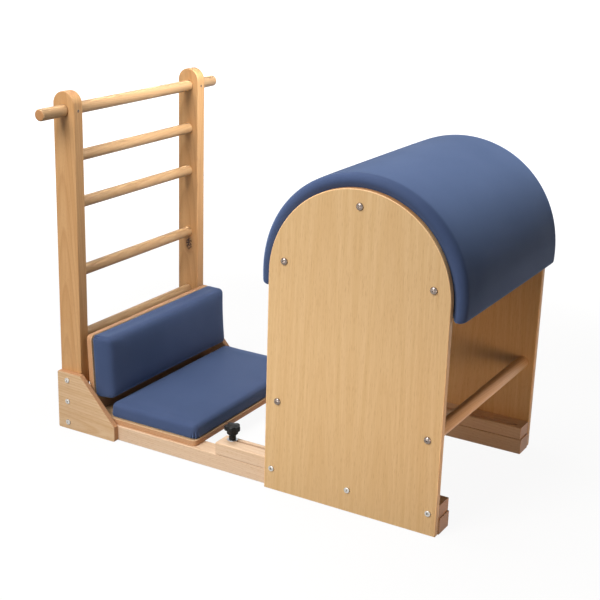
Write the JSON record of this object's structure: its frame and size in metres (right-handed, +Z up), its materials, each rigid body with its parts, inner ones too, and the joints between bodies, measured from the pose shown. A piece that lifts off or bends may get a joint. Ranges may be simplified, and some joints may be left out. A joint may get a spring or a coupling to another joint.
{
  "type": "pilates ladder barrel",
  "caption": "Padded half-round drum on arched side panels that slides along floor rails towards a ladder with a padded seat and backrest, held by clamp knobs.",
  "frame": {"origin": "on the floor, under the middle of the whole part's plan", "axes": "+X from the ladder to the drum, +Y to the left side, +Z up"},
  "size_m": [1.2446, 0.816, 0.9845],
  "materials": {
    "beech": "clear satin lacquer",
    "plywood": "clear satin lacquer, edges showing the plies",
    "vinyl": "smooth blue imitation leather, soft sheen",
    "foam": "open upholstery foam",
    "chrome": "bright plated",
    "steel": "zinc plated",
    "brass": "turned",
    "black_plastic": "moulded, fine matt"
  },
  "bodies": {
    "base_frame": {"base_rail_right": "beech", "base_rail_left": "beech", "ladder_post_right": "beech", "ladder_post_left": "beech", "handle_bar": "beech", "ladder_rung_1": "beech", "ladder_rung_2": "beech", "ladder_rung_3": "beech", "ladder_rung_4": "beech", "back_rail": "beech", "gusset_right": "plywood", "gusset_left": "plywood", "seat_board": "plywood", "back_board": "plywood", "seat_foam": "foam", "back_foam": "foam", "seat_cover": "vinyl", "back_cover": "vinyl", "gusset_bolt_right_1": "chrome", "gusset_bolt_right_2": "chrome", "gusset_bolt_right_3": "chrome", "clamp_insert_right": "brass", "gusset_bolt_left_1": "chrome", "gusset_bolt_left_2": "chrome", "gusset_bolt_left_3": "chrome", "clamp_insert_left": "brass"},
    "barrel_carriage": {"side_panel_right": "beech", "side_panel_left": "beech", "slotted_rail_right": "beech", "slotted_rail_left": "beech", "stretcher_front": "beech", "stretcher_rear": "beech", "drum_rib_right": "plywood", "drum_rib_left": "plywood", "drum_rib_middle": "plywood", "drum_skin": "plywood", "drum_foam": "foam", "drum_cover": "vinyl", "arch_bolt_right_1": "chrome", "arch_bolt_right_2": "chrome", "arch_bolt_right_3": "chrome", "stretcher_bolt_right_1": "chrome", "stretcher_bolt_right_2": "chrome", "rail_bolt_right_1": "chrome", "rail_bolt_right_2": "chrome", "rail_bolt_right_3": "chrome", "arch_bolt_left_1": "chrome", "arch_bolt_left_2": "chrome", "arch_bolt_left_3": "chrome", "stretcher_bolt_left_1": "chrome", "stretcher_bolt_left_2": "chrome", "rail_bolt_left_1": "chrome", "rail_bolt_left_2": "chrome", "rail_bolt_left_3": "chrome"},
    "clamp_right": {"clamp_knob_right": "black_plastic", "clamp_stud_right": "steel", "clamp_washer_right": "steel"},
    "clamp_left": {"clamp_knob_left": "black_plastic", "clamp_stud_left": "steel", "clamp_washer_left": "steel"}
  },
  "joints": [
    {"name": "barrel_slide", "type": "slide", "parent": "base_frame", "child": "barrel_carriage", "axis": [1, 0, 0], "range_m": [-0.07, 0]},
    {"name": "clamp_turn_right", "type": "hinge", "parent": "base_frame", "child": "clamp_right", "pos_m": [-0.05275, -0.27, 0.05], "axis": [0, 0, 1], "range_deg": [0, 540]},
    {"name": "clamp_turn_left", "type": "hinge", "parent": "base_frame", "child": "clamp_left", "pos_m": [-0.05275, 0.27, 0.05], "axis": [0, 0, 1], "range_deg": [0, 540]}
  ]
}
